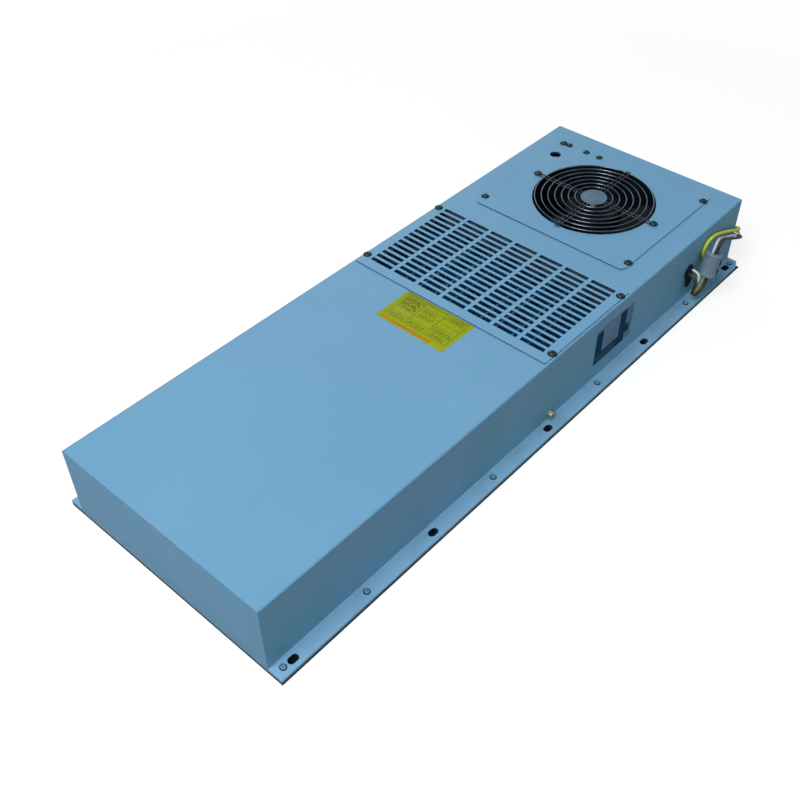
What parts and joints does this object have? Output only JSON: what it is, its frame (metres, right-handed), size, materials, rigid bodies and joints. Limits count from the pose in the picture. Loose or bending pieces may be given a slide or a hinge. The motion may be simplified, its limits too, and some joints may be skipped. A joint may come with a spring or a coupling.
{
  "type": "heat pipe heat exchanger",
  "caption": "Blue sheet-metal cabinet heat exchanger: long mounting flange, slotted air grille, round guarded fan, heat pipe core inside and leads with a ferrite.",
  "frame": {"origin": "centre of the underside, where the gasket meets the mounting panel", "axes": "+X along the length towards the inner fan, +Z out of the mounting panel towards the grille, +Y to the left seen along +X"},
  "size_m": [0.8364, 0.3044, 0.0941],
  "materials": {
    "blue_paint": "smooth powder coat, low gloss",
    "black_paint": "satin black coat",
    "zinc_sheet": "zinc-coated sheet",
    "steel": "turned steel",
    "screw_steel": "bright zinc plating",
    "guard_wire": "bright plated wire",
    "core_aluminium": "mill finish",
    "foam": "closed-cell foam",
    "black_rubber": "moulded rubber",
    "winding": "laminations with copper windings",
    "board": "glass-fibre laminate",
    "board_parts": "moulded housings",
    "terminal": "moulded housing",
    "trimmer": "moulded housing",
    "earth_metal": "yellow zinc plating",
    "ferrite_shell": "moulded case",
    "ferrite": "sintered ferrite",
    "black_sheath": "soft insulation",
    "white_sheath": "soft insulation",
    "yellow_green_sheath": "soft insulation, two colours",
    "connector": "moulded housing"
  },
  "bodies": {
    "housing": {"back_panel": "blue_paint", "board_capacitors": "board_parts", "board_relay": "board_parts", "board_screws": "screw_steel", "board_standoffs": "steel", "cable_grommet": "black_rubber", "condenser_fins": "core_aluminium", "control_board": "board", "control_screws": "screw_steel", "core_seals": "foam", "core_side_plates": "zinc_sheet", "cover_shell": "blue_paint", "earth_nut": "earth_metal", "earth_screw": "earth_metal", "earth_washer": "earth_metal", "evaporator_fins": "core_aluminium", "fan_plate": "blue_paint", "fan_plate_screws": "screw_steel", "ferrite_case": "ferrite_shell", "ferrite_core": "ferrite", "finger_guard": "guard_wire", "gasket": "foam", "grille_plate": "blue_paint", "grille_screws": "screw_steel", "guard_screws": "screw_steel", "heat_pipes": "core_aluminium", "inner_baffle": "zinc_sheet", "inner_fan_bearing": "steel", "inner_fan_frame": "black_paint", "inner_fan_nuts": "screw_steel", "inner_fan_stator": "winding", "lead_black": "black_sheath", "lead_coil": "black_sheath", "lead_connector": "connector", "lead_white": "white_sheath", "lead_yellow_green": "yellow_green_sheath", "outer_baffle": "zinc_sheet", "outer_fan_bearing": "steel", "outer_fan_frame": "black_paint", "outer_fan_nuts": "screw_steel", "outer_fan_screws": "screw_steel", "outer_fan_stator": "winding", "partition": "zinc_sheet", "set_point_trimmer": "trimmer", "terminal_block": "terminal"},
    "inner_rotor": {"inner_fan_rotor": "black_paint", "inner_fan_shaft": "steel"},
    "outer_rotor": {"outer_fan_rotor": "black_paint", "outer_fan_shaft": "steel"}
  },
  "joints": [
    {"name": "inner_fan_spin", "type": "hinge", "parent": "housing", "child": "inner_rotor", "pos_m": [0.269, 0, 0.065], "axis": [0, 0, 1], "continuous": true},
    {"name": "outer_fan_spin", "type": "hinge", "parent": "housing", "child": "outer_rotor", "pos_m": [-0.269, 0, 0.0285], "axis": [0, 0, 1], "continuous": true}
  ]
}
